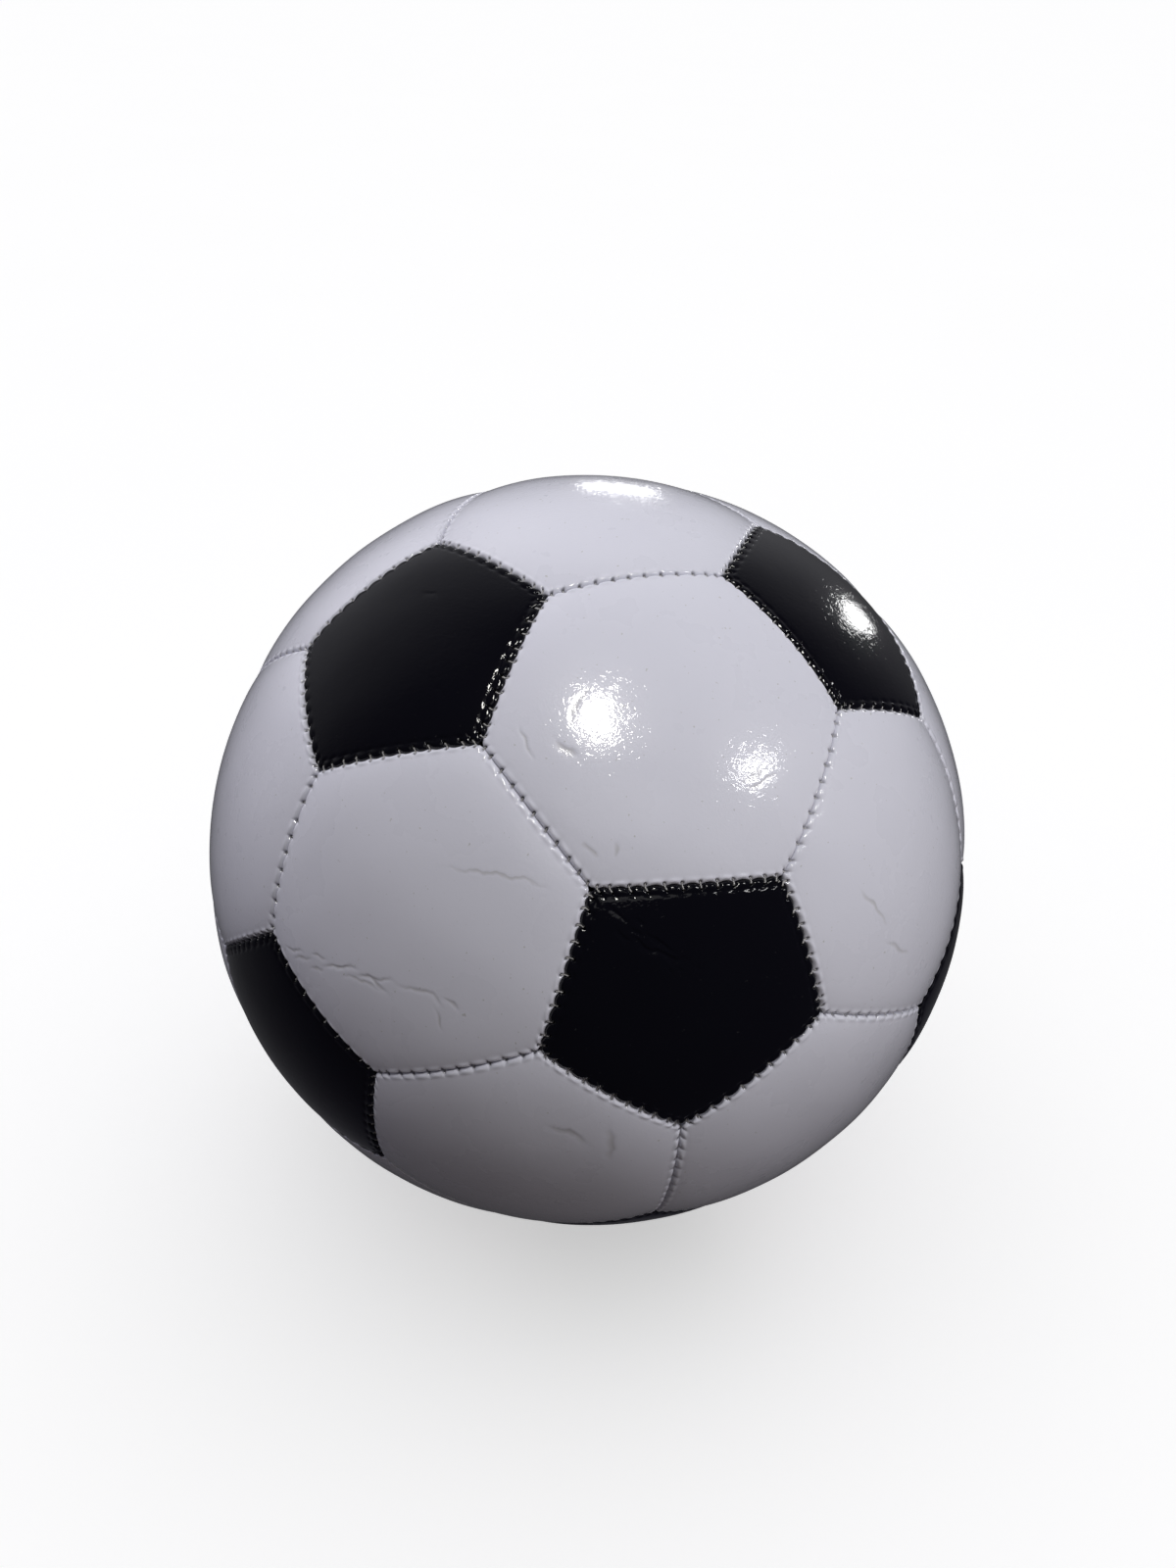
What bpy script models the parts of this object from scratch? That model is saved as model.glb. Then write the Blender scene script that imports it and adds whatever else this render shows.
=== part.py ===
"""Football: 12 pentagon and 20 hexagon panels sewn edge to edge round an air bladder with a valve.

Metres. The origin is the ball's centre. +Z goes through the centre of a hexagon panel, and one of
that panel's hexagon neighbours faces -Y. The valve is in another of its neighbours, at the back.
"""

import math

import bmesh
import bpy
from mathutils import Matrix, Vector

# Cover: a size 5 ball, 0.69 m round
BALL_RADIUS = 0.110
CORNER_CUT_PERCENT = 100 / 3  # how far along an icosahedron's edges its corners are cut off
PANEL_THICKNESS = 0.003
SEAM_DEPTH = 0.006  # from the crown of a panel down to the foot of its turned-in edge
SEAM_HALF_GAP = 0.0007  # from the seam's middle to a panel's turned-in edge
ROLL_WIDTH = 0.002  # the panel starts to turn in this far from the seam's middle
ROLL_DEPTH = 0.0015
EDGE_STEPS = 3  # facets along each panel edge

# Thread: lock stitches inside the seams
THREAD_DEPTH = 0.0035
THREAD_HALF_WIDTH = 0.0003
THREAD_STEPS = 2  # straight lengths along each seam
THREAD_END_GAP = 0.0012  # a thread that ends at a seam corner stops this far short of it
HAND_CLOSED_SEAMS = 3  # seams left open for the bladder and closed last, by hand

# Bladder
BLADDER_RADIUS = 0.1034
BLADDER_WALL = 0.001
BLADDER_RINGS = 12
TURN_STEPS = 24

# Valve. Heights are distances from the ball's centre, along the valve's axis.
NECK_RADIUS = 0.005
NECK_TOP = 0.1093
POCKET_RADIUS = 0.003
POCKET_FLOOR = 0.0875
BOSS_BOTTOM = 0.086
BOSS_FLANGE_RADIUS = 0.013
BOSS_FLANGE_TOP = 0.1049  # radius of the flange's outer side, which follows the bladder
BOSS_FLANGE_THICKNESS = 0.001
NOSE_BORE_RADIUS = 0.0017
HOLE_CLEARANCE = 0.0005  # round the neck, in the panel and in the bladder
CHAMFER = 0.0004

INSERT_RADIUS = 0.0027
INSERT_TOP = 0.1090
INSERT_SHOULDER = 0.0879
INSERT_WAIST_RADIUS = 0.0023
INSERT_RIB_BOTTOMS = (0.1040, 0.0980)
INSERT_WAIST_LENGTH = 0.0040
NOSE_RADIUS = 0.0014
NOSE_TIP = 0.084
NEEDLE_MOUTH_RADIUS = 0.0011
NEEDLE_MOUTH_DEPTH = 0.0006
NEEDLE_FUNNEL_DEPTH = 0.0016
NEEDLE_PASSAGE_RADIUS = 0.0005

PATCH_RADIUS = 0.016
PATCH_TOP = 0.1062
PATCH_THICKNESS = 0.0008

VALVE_CUTTER_LENGTH = 0.012

SMOOTH_ANGLE = math.radians(30)
WELD_DISTANCE = 1e-6


def clear_scene():
    for obj in list(bpy.data.objects):
        bpy.data.objects.remove(obj, do_unlink=True)


def new_collection(name):
    collection = bpy.data.collections.new(name)
    bpy.context.scene.collection.children.link(collection)
    return collection


def make_material(name, colour, roughness, metallic=0.0):
    material = bpy.data.materials.new(name)
    material.use_nodes = True
    shader = material.node_tree.nodes["Principled BSDF"]
    shader.inputs["Base Color"].default_value = (*colour, 1.0)
    shader.inputs["Roughness"].default_value = roughness
    shader.inputs["Metallic"].default_value = metallic
    material.diffuse_color = (*colour, 1.0)
    return material


def add_object(name, data, collection, parent=None):
    obj = bpy.data.objects.new(name, data)
    collection.objects.link(obj)
    obj.parent = parent
    return obj


def mesh_from(bm, name, material=None):
    """The mesh data of a finished bmesh, which is freed."""
    mesh = bpy.data.meshes.new(name)
    bm.to_mesh(mesh)
    bm.free()
    if material:
        mesh.materials.append(material)
    return mesh


# The pattern


def seam_pattern():
    """A truncated icosahedron with its corners on the ball. Its faces are panels and its edges seams."""
    pattern = bmesh.new()
    bmesh.ops.create_icosphere(pattern, subdivisions=1, radius=BALL_RADIUS)
    bmesh.ops.bevel(
        pattern,
        geom=pattern.verts,
        affect="VERTICES",
        offset_type="PERCENT",
        offset=CORNER_CUT_PERCENT,
        segments=1,
    )
    turn = standing_turn(pattern)
    for corner in pattern.verts:
        corner.co = turn @ (corner.co.normalized() * BALL_RADIUS)
    return pattern


def standing_turn(pattern):
    """The turn that puts one hexagon's centre on +Z and a hexagon next to it in the -Y half plane."""
    top = next(face for face in pattern.faces if len(face.verts) == 6)
    neighbours = [other for edge in top.edges for other in edge.link_faces if other is not top]
    front = next(face for face in neighbours if len(face.verts) == 6)
    up = face_direction(top)
    across = face_direction(front)
    back = -(across - up * across.dot(up)).normalized()
    return Matrix((back.cross(up), back, up))


def face_direction(face):
    return face.calc_center_median().normalized()


def from_the_top(face):
    """Sort key: panels from the top of the ball to the bottom, and round it in each row."""
    direction = face_direction(face)
    return (-round(direction.z, 3), round(math.atan2(direction.y, direction.x), 3))


def panel_turn(direction, corner):
    """The turn from a panel's own axes, with +Z through its centre and a corner at +Y, to its place."""
    along = (corner - direction * corner.dot(direction)).normalized()
    return Matrix((along.cross(direction), along, direction)).transposed().to_4x4()


# The cover


def panel_mesh(name, sides, edge_length, material):
    """One panel with its edge turned in for the seam. Its own origin is the ball's centre."""
    corner_radius = edge_length / (2 * math.sin(math.pi / sides))
    apothem = corner_radius * math.cos(math.pi / sides)
    plane_height = math.sqrt(BALL_RADIUS**2 - corner_radius**2)

    def seat(verts, inset, radius):
        """Moves flat points in from the seam's middle by inset, then out onto a sphere."""
        shrink = (apothem - inset) / apothem
        for vert in verts:
            flat = Vector((vert.co.x * shrink, vert.co.y * shrink, plane_height))
            vert.co = flat.normalized() * radius

    bm = bmesh.new()
    bmesh.ops.create_circle(bm, cap_ends=True, segments=sides, radius=corner_radius)
    bmesh.ops.poke(bm, faces=bm.faces)
    bmesh.ops.subdivide_edges(bm, edges=bm.edges, cuts=EDGE_STEPS - 1, use_grid_fill=True)
    crown = list(bm.verts)
    lining = bmesh.ops.duplicate(bm, geom=bm.verts[:] + bm.edges[:] + bm.faces[:])["geom"]
    lining = [item for item in lining if isinstance(item, bmesh.types.BMVert)]

    inner_inset = SEAM_HALF_GAP + PANEL_THICKNESS
    folds = (
        (SEAM_HALF_GAP, BALL_RADIUS - ROLL_DEPTH),
        (SEAM_HALF_GAP, BALL_RADIUS - SEAM_DEPTH),
        (inner_inset, BALL_RADIUS - SEAM_DEPTH),
        (inner_inset, BALL_RADIUS - PANEL_THICKNESS),
    )
    crown_set = set(crown)
    rim = [edge for edge in bm.edges if edge.is_boundary and edge.verts[0] in crown_set]
    rings = []
    for _ in folds:
        made = bmesh.ops.extrude_edge_only(bm, edges=rim)["geom"]
        rings.append([item for item in made if isinstance(item, bmesh.types.BMVert)])
        rim = [item for item in made if isinstance(item, bmesh.types.BMEdge) and item.is_boundary]
    seat(crown, ROLL_WIDTH, BALL_RADIUS)
    seat(lining, inner_inset, BALL_RADIUS - PANEL_THICKNESS)
    for ring, (inset, radius) in zip(rings, folds):
        seat(ring, inset, radius)
    bmesh.ops.remove_doubles(bm, verts=bm.verts, dist=WELD_DISTANCE)
    bmesh.ops.recalc_face_normals(bm, faces=bm.faces)
    mesh = mesh_from(bm, name, material)
    mesh.shade_smooth()
    mesh.set_sharp_from_angle(angle=SMOOTH_ANGLE)
    return mesh


def add_panels(pattern, valve_face, collection, parent):
    """Every panel as its own object. Returns the one that holds the valve."""
    edge_length = next(iter(pattern.edges)).calc_length()
    black = make_material("black_panel", (0.008, 0.008, 0.012), 0.12)
    white = make_material("white_panel", (0.78, 0.78, 0.83), 0.15)
    shapes = {
        5: panel_mesh("pentagon_panel", 5, edge_length, black),
        6: panel_mesh("hexagon_panel", 6, edge_length, white),
    }
    made = {5: 0, 6: 0}
    valve_panel = None
    for face in sorted(pattern.faces, key=from_the_top):
        sides = len(face.verts)
        mesh = shapes[sides]
        if face is valve_face:
            name = "valve_hexagon_panel"
        else:
            made[sides] += 1
            name = f"{mesh.name}_{made[sides]:02d}"
        panel = add_object(name, mesh, collection, parent)
        panel.matrix_basis = panel_turn(face_direction(face), face.verts[0].co)
        if face is valve_face:
            valve_panel = panel
    return valve_panel


# The thread


def thread_mesh(name, seams, ended, material):
    """Square-section thread along these seams. It stops short of the corners in ended."""
    bm = bmesh.new()
    at_corner = {}

    def end_vert(seam, corner):
        if corner in ended:
            short = THREAD_END_GAP / seam.calc_length()
            return bm.verts.new(corner.co.lerp(seam.other_vert(corner).co, short))
        if corner not in at_corner:
            at_corner[corner] = bm.verts.new(corner.co)
        return at_corner[corner]

    for seam in seams:
        start, end = seam.verts
        between = [start.co.lerp(end.co, step / THREAD_STEPS) for step in range(1, THREAD_STEPS)]
        chain = [end_vert(seam, start), *map(bm.verts.new, between), end_vert(seam, end)]
        for one, other in zip(chain, chain[1:]):
            bm.edges.new((one, other))
    for vert in bm.verts:
        vert.co = vert.co.normalized() * (BALL_RADIUS - THREAD_DEPTH)
    return mesh_from(bm, name, material)


def add_thread(name, seams, ended, collection, parent, material):
    thread = add_object(name, thread_mesh(name, seams, ended, material), collection, parent)
    thread.modifiers.new("Skin", "SKIN")
    for vert in thread.data.skin_vertices[0].data:
        vert.radius = (THREAD_HALF_WIDTH, THREAD_HALF_WIDTH)


def in_order(seams):
    """The seams of the closed loop in the order in which a needle follows it."""
    seams = list(seams)
    ordered = [seams.pop(0)]
    corner = ordered[0].verts[1]
    while seams:
        following = next(seam for seam in seams if corner in seam.verts)
        seams.remove(following)
        ordered.append(following)
        corner = following.other_vert(corner)
    return ordered


def corners_of(seams):
    return {corner for seam in seams for corner in seam.verts}


def add_threads(pattern, pole, collection, parent):
    """Two halves of 16 panels, each round a pole pentagon, are sewn first, and then joined.

    The last few joining seams are closed by hand, once the bladder is in.
    """
    polyester = make_material("thread", (0.70, 0.70, 0.74), 0.5)
    halves = {True: [], False: []}
    joining = []
    for seam in pattern.edges:
        sides = {face_direction(face).dot(pole) > 0 for face in seam.link_faces}
        if len(sides) == 2:
            joining.append(seam)
        else:
            halves[sides.pop()].append(seam)
    joining = in_order(joining)
    by_hand, by_machine = joining[:HAND_CLOSED_SEAMS], joining[HAND_CLOSED_SEAMS:]
    equator = corners_of(joining)
    add_thread("thread_upper_half", halves[True], equator, collection, parent, polyester)
    add_thread("thread_lower_half", halves[False], equator, collection, parent, polyester)
    add_thread("thread_joining_seam", by_machine, set(), collection, parent, polyester)
    hand_ends = corners_of(by_hand) & corners_of(by_machine)
    add_thread("thread_hand_closed_seam", by_hand, hand_ends, collection, parent, polyester)


# The bladder and valve


def turned(name, profile, closed, collection, parent, material):
    """A shape turned about its own Z. The profile's points are (radius, height)."""
    mesh = bpy.data.meshes.new(name)
    edges = [(index, index + 1) for index in range(len(profile) - 1)]
    if closed:
        edges.append((len(profile) - 1, 0))
    mesh.from_pydata([(radius, 0.0, height) for radius, height in profile], edges, [])
    mesh.materials.append(material)
    obj = add_object(name, mesh, collection, parent)
    screw = obj.modifiers.new("Turn", "SCREW")
    screw.steps = screw.render_steps = TURN_STEPS
    screw.use_merge_vertices = True
    screw.merge_threshold = WELD_DISTANCE
    screw.use_smooth_shade = True


def on_sphere(radius, off_axis):
    """The (radius, height) of a profile point on a sphere round the ball's centre."""
    return (off_axis, math.sqrt(radius**2 - off_axis**2))


def arc(radius, first, last, steps):
    return [
        (radius * math.sin(angle), radius * math.cos(angle))
        for angle in (first + (last - first) * step / steps for step in range(steps + 1))
    ]


def add_bladder(collection, valve_axis):
    rubber = make_material("bladder_rubber", (0.02, 0.02, 0.02), 0.6)
    hole = math.asin((NECK_RADIUS + HOLE_CLEARANCE) / BLADDER_RADIUS)
    inside = arc(BLADDER_RADIUS - BLADDER_WALL, math.pi, hole, BLADDER_RINGS)
    outside = arc(BLADDER_RADIUS, hole, math.pi, BLADDER_RINGS)
    inside[0] = (0.0, -(BLADDER_RADIUS - BLADDER_WALL))
    outside[-1] = (0.0, -BLADDER_RADIUS)
    turned("bladder", inside + outside, False, collection, valve_axis, rubber)


def boss_profile():
    """Neck, flange against the bladder, and the pocket that grips the insert."""
    flange_under = BOSS_FLANGE_TOP - BOSS_FLANGE_THICKNESS
    return [
        (POCKET_RADIUS, NECK_TOP),
        (NECK_RADIUS - CHAMFER, NECK_TOP),
        (NECK_RADIUS, NECK_TOP - CHAMFER),
        on_sphere(BOSS_FLANGE_TOP, NECK_RADIUS),
        on_sphere(BOSS_FLANGE_TOP, BOSS_FLANGE_RADIUS),
        on_sphere(flange_under, BOSS_FLANGE_RADIUS),
        on_sphere(flange_under, NECK_RADIUS),
        (NECK_RADIUS, BOSS_BOTTOM + CHAMFER),
        (NECK_RADIUS - CHAMFER, BOSS_BOTTOM),
        (NOSE_BORE_RADIUS, BOSS_BOTTOM),
        (NOSE_BORE_RADIUS, POCKET_FLOOR),
        (POCKET_RADIUS, POCKET_FLOOR),
    ]


def insert_profile():
    """Ribbed plug with a nose through the pocket's floor and the needle's passage down its middle."""
    profile = [(NEEDLE_MOUTH_RADIUS, INSERT_TOP), (INSERT_RADIUS, INSERT_TOP)]
    for rib_bottom in INSERT_RIB_BOTTOMS:
        waist_bottom = rib_bottom - INSERT_WAIST_LENGTH
        profile += [
            (INSERT_RADIUS, rib_bottom),
            (INSERT_WAIST_RADIUS, rib_bottom - CHAMFER),
            (INSERT_WAIST_RADIUS, waist_bottom + CHAMFER),
            (INSERT_RADIUS, waist_bottom),
        ]
    return profile + [
        (INSERT_RADIUS, INSERT_SHOULDER + CHAMFER),
        (INSERT_RADIUS - CHAMFER, INSERT_SHOULDER),
        (NOSE_RADIUS, INSERT_SHOULDER),
        (NOSE_RADIUS, NOSE_TIP),
        (NEEDLE_PASSAGE_RADIUS, NOSE_TIP),
        (NEEDLE_PASSAGE_RADIUS, INSERT_TOP - NEEDLE_FUNNEL_DEPTH),
        (NEEDLE_MOUTH_RADIUS, INSERT_TOP - NEEDLE_MOUTH_DEPTH),
    ]


def patch_profile():
    """Ring of lining cloth stuck inside the valve panel, following its curve."""
    inner = NECK_RADIUS + 2 * HOLE_CLEARANCE
    middle = (inner + PATCH_RADIUS) / 2
    under = PATCH_TOP - PATCH_THICKNESS
    top = [on_sphere(PATCH_TOP, off_axis) for off_axis in (inner, middle, PATCH_RADIUS)]
    return top + [on_sphere(under, off_axis) for off_axis in (PATCH_RADIUS, middle, inner)]


def add_valve(collection, valve_axis):
    rubber = make_material("valve_rubber", (0.015, 0.015, 0.015), 0.45)
    cloth = make_material("lining_cloth", (0.55, 0.53, 0.50), 0.9)
    turned("valve_boss", boss_profile(), True, collection, valve_axis, rubber)
    turned("valve_insert", insert_profile(), True, collection, valve_axis, rubber)
    turned("valve_patch", patch_profile(), True, collection, valve_axis, cloth)


def cut_valve_hole(panel, cutters, valve_axis):
    bm = bmesh.new()
    radius = NECK_RADIUS + HOLE_CLEARANCE
    bmesh.ops.create_cone(
        bm,
        cap_ends=True,
        segments=TURN_STEPS,
        radius1=radius,
        radius2=radius,
        depth=VALVE_CUTTER_LENGTH,
    )
    name = "valve_hole_cutter"
    cutter = add_object(name, mesh_from(bm, name), cutters, valve_axis)
    cutter.location = (0.0, 0.0, BALL_RADIUS - PANEL_THICKNESS / 2)
    cutter.hide_render = True
    cutter.display_type = "WIRE"
    cut = panel.modifiers.new("Valve hole", "BOOLEAN")
    cut.object = cutter
    cut.operation = "DIFFERENCE"
    cut.solver = "EXACT"


def valve_face_of(pattern):
    """The hexagon next to the top one that is at the back, on the +X side."""
    hexagons = [face for face in pattern.faces if len(face.verts) == 6]
    second_row = sorted(hexagons, key=from_the_top)[1:4]
    return max(second_row, key=lambda face: face_direction(face).x)


def pole_pentagon_of(pattern, valve_face):
    """The pentagon nearest the top among those that touch the valve's panel."""
    touching = {face for edge in valve_face.edges for face in edge.link_faces}
    return min((face for face in touching if len(face.verts) == 5), key=from_the_top)


def build():
    clear_scene()
    parts = new_collection("football")
    cutters = new_collection("cutters")
    pattern = seam_pattern()
    valve_face = valve_face_of(pattern)
    centre = add_object("ball_centre", None, parts)
    valve_axis = add_object("valve_axis", None, parts, centre)
    valve_axis.matrix_basis = panel_turn(face_direction(valve_face), valve_face.verts[0].co)

    valve_panel = add_panels(pattern, valve_face, parts, centre)
    pole = face_direction(pole_pentagon_of(pattern, valve_face))
    add_threads(pattern, pole, parts, centre)
    add_bladder(parts, valve_axis)
    add_valve(parts, valve_axis)
    cut_valve_hole(valve_panel, cutters, valve_axis)
    pattern.free()


build()
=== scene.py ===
"""Looks of a football: 32 glossy panels sewn edge to edge, with thread, a bladder and a valve.

Metres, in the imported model's frame: the origin is the ball's centre and +Z is up. A place on a
panel is given by its distance from the nearest seam and by how far along that seam it is.
"""

import functools
import math

import bmesh
import bpy
import numpy as np
from mathutils import Matrix, Vector


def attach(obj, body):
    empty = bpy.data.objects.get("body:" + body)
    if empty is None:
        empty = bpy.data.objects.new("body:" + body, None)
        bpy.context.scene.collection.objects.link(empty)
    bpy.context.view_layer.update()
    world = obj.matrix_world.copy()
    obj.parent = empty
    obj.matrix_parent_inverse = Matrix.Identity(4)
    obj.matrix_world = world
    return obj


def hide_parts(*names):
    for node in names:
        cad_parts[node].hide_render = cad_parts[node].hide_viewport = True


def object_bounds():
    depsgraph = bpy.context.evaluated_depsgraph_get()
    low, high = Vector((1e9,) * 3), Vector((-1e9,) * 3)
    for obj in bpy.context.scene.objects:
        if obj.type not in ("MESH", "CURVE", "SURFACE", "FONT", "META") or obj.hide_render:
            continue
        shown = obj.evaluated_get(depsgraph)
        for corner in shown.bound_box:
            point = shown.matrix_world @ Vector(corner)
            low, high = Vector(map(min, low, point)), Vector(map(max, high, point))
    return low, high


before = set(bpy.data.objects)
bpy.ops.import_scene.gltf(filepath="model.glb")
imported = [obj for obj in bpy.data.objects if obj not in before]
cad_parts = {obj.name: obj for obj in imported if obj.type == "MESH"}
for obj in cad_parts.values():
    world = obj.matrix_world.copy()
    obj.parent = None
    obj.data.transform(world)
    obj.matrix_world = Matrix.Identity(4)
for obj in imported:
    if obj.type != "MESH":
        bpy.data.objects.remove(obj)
cad_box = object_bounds()

MM = 0.001
SEED = 11
BALL_RADIUS = (cad_box[1].z - cad_box[0].z) / 2
CORNER_CUT_PERCENT = 100 / 3  # how far along an icosahedron's edges its corners are cut off

# Stitches
STITCH_PITCH = 4.35 * MM
CORNER_STITCH = 1.5 * MM  # the first stitch of a seam is this far from its corner
CORNER_STITCH_PITCH = 2.9 * MM
STITCH_JITTER = 0.28 * MM
BLACK_HOLE_INSET = 0.90 * MM  # from the seam's middle to a stitch hole
WHITE_HOLE_INSET = 0.42 * MM
BESIDE_BLACK_INSET = 0.75 * MM  # in a white panel's edge that is sewn to a black one
HOLE_INSET_JITTER = 0.12 * MM
HOLE_LENGTH = 0.38 * MM  # a hole is drawn out towards the seam by the thread
HOLE_WIDTH = 0.33 * MM
HOLE_DEPTH = 0.9 * MM
HIDDEN_HOLE = 0.35  # how deep the holes on a white seam's tighter side are, as a share of that
STITCH_LEAN = 0.30 * MM  # a stitch's two holes aren't quite opposite each other

# A panel's section, from the seam's middle inwards
EDGE_GAP = 0.04 * MM
ROLL_WIDTH = 1.45 * MM
ROLL_DEPTH = 0.85 * MM
PILLOW_DEPTH = 0.8 * MM  # the cover sinks this far towards a seam
PILLOW_REACH = 6.0 * MM
CORNER_ROUNDING = 0.40 * MM  # a panel's corner is drawn in by this much at its point
CORNER_ROUNDING_REACH = 0.7 * MM
CORNER_REACH = 1.2 * MM  # how far from its corner, and from the seam, an edge is affected by it
PINCH_DEPTH = 0.55 * MM  # the edge is drawn down at each stitch, and swells between two
PINCH_WIDTH = 0.36 * MM
PINCH_REACH = 0.95 * MM
SWELL_HEIGHT = 0.24 * MM
SWELL_INSET = 0.75 * MM
SWELL_REACH = 0.70 * MM
BLACK_GROOVE_DEPTH = 0.20 * MM  # the film is creased along the row of stitches
WHITE_GROOVE_DEPTH = 0.018 * MM
GROOVE_WIDTH = 0.45 * MM
GROOVE_INSET = 2.05 * MM
LOBE = 0.75 * MM  # a black edge bulges this far over its white neighbour between stitches
LOBE_REACH = 1.6 * MM
LOBE_SHARPNESS = 0.35  # lower for flatter lobes with sharper notches between them
STITCHED_REACH = 4 * MM  # the stitches and the rolled edge leave no mark beyond this
# Painted shade: the cover is painted darker by this much along each seam's valley, over this reach, and
# darker still in the stitch holes.
SEAM_PAINTED_SHADE = 0.12
SEAM_PAINTED_SHADE_REACH = 0.25 * MM
SLOW_WAVES = ((0.3, 31, 0.05), (1.7, 22, 0.02), (2.9, 15, 0.008), (4.1, 10.5, 0.003))
WAVE_TOP = 0.20 * MM  # keeps the waviness inside the ball's nominal radius

# The ball isn't quite round. Each bulge or dent is azimuth, elevation and reach in degrees, and
# height in mm.
BULGES = ((-79, -13, 28, 1.5), (49, -16, 25, 0.7), (114, 68, 25, -0.6), (-1.5, -46, 20, -0.5))

# The turned-in edge, as distances from the seam and depths. Its foot doesn't follow the dents above.
FOOT_DEPTH = 6.0 * MM
WALL = ((0.12 * MM, 2.6 * MM), (0.42 * MM, 3.1 * MM), (0.42 * MM, FOOT_DEPTH), (3.6 * MM, FOOT_DEPTH))
PANEL_THICKNESS = 3.0 * MM
LINING_INSETS = (3.9 * MM, 9 * MM, 16 * MM, 24 * MM)

# How finely a panel is divided
SEAM_SAMPLES = 128  # along each seam
STITCH_CROWDING = 4.5  # how much closer together the samples are at a stitch
CROWDED_WIDTH = 0.55 * MM
FIRST_STEP = 0.05 * MM
FINE_STEP = 0.17 * MM
FINE_REACH = 2.0 * MM
STEP_GROWTH = 1.24
COARSE_STEP = 1.15 * MM
CREASED_STEP = 0.3 * MM
HALVE_AT = (8 * MM, 19 * MM, 29 * MM)
HALVE_CREASED_AT = (20 * MM, 28 * MM, 34 * MM)
EVEN_FROM = 1.8 * MM  # the samples are spread evenly between these distances from the seam
EVEN_BY = 6.0 * MM
POLE_RADIUS = 1.6 * MM  # of the smallest ring, round a panel's centre

# Thread
THREAD_RADIUS = 0.17 * MM
THREAD_SIDES = 10
# Half a stitch: the share of the way from the seam to the hole, and the height over the pinched edge
HALF_STITCH = ((1.0, -0.9 * MM), (0.95, -0.2 * MM), (0.75, 0.05 * MM), (0.4, 0.02 * MM))
BRIDGE_LIFT = 0.03 * MM  # of a stitch's middle, over the seam
THREAD_RUN_DEPTH = 3.9 * MM  # the hidden run of thread lies this far under the surface
THREAD_RUN_STEPS = 12

# Valve
TURN_STEPS = 96
ROUNDING_STEPS = 4
HOLE_CLEARANCE = 0.35 * MM
HOLE_EDGE_RADIUS = 0.5 * MM
HOLE_EDGE_STEPS = 6
# Painted shade: how much darker the valve hole's rounded edge is painted where it turns down into the hole.
HOLE_EDGE_PAINTED_SHADE = 0.5
ROUNDED_FROM = 12 * MM  # the valve panel's rings turn from hexagons into circles between these
ROUNDED_BY = 26 * MM
BOSS_ROUNDING = 0.25 * MM
LIP_WIDTH = 0.8 * MM  # the boss's raised lip
LIP_HEIGHT = 0.12 * MM
POCKET_FLOOR_THICKNESS = 1.5 * MM
INSERT_ROUNDING = 0.22 * MM
NEEDLE_MOUTH_RADIUS = 1.1 * MM
RIB_DEPTH = 0.4 * MM
RIB_BOTTOMS = (5 * MM, 11 * MM)  # below the insert's top
RIB_GAP = 4 * MM
INSERT_BODY_LENGTH = 21.1 * MM
NOSE_RADIUS = 1.4 * MM

# Studio
CAMERA_LENS = 34.1
CAMERA_PLACE = (-13.93, 31.61)  # azimuth and elevation, as in toward()
CAMERA_DISTANCE = 4.06 * BALL_RADIUS
CAMERA_BACKWARD = (-13.81, 29.21)  # the camera faces away from this direction
CAMERA_ROLL = 1.84
WHITE = (1, 1, 1)
SOFT_ANGLE = math.radians(50)
FLOOR_GLOW = 0.5
FLOOR_LIGHT = 1.7
FLOOR_LIGHT_ANGLE = math.radians(120)

# The seam corners aren't exactly where a perfect pattern has them. Each line has the numbers of the
# two hexagon panels and the pentagon panel that meet there, and how far the corner has moved to the
# right and up, seen from outside, in mm.
CORNER_DRIFTS = {
    (1, 2, 1): (0.4, -2.4),
    (1, 2, 2): (2.0, 0.4),
    (2, 6, 2): (3.2, 0.0),
    (2, 6, 4): (1.6, -2.4),
    (2, 5, 4): (-0.7, -0.5),
    (2, 5, 1): (0.8, -0.6),
    (4, 5, 1): (-1.1, -0.6),
    (1, 3, 1): (2.6, 0.1),
    (3, 4, 1): (2.4, -0.3),
    (6, 7, 2): (0.2, 0.9),
    (6, 11, 4): (-1.0, 2.8),
    (5, 10, 4): (-0.2, 1.6),
    (10, 11, 4): (-1.0, 2.8),
    (4, 5, 7): (-2.2, -1.2),
    (5, 10, 7): (-2.4, -1.4),
    (6, 11, 8): (2.4, -1.4),
    (10, 11, 10): (0.0, -6.0),
    (10, 16, 10): (0.0, -2.5),
    (11, 17, 10): (0.0, -2.5),
    (10, 16, 7): (0.0, -3.0),
}
DRIFT_ELSEWHERE = 0.7 * MM  # spread of the other corners' drift

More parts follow.
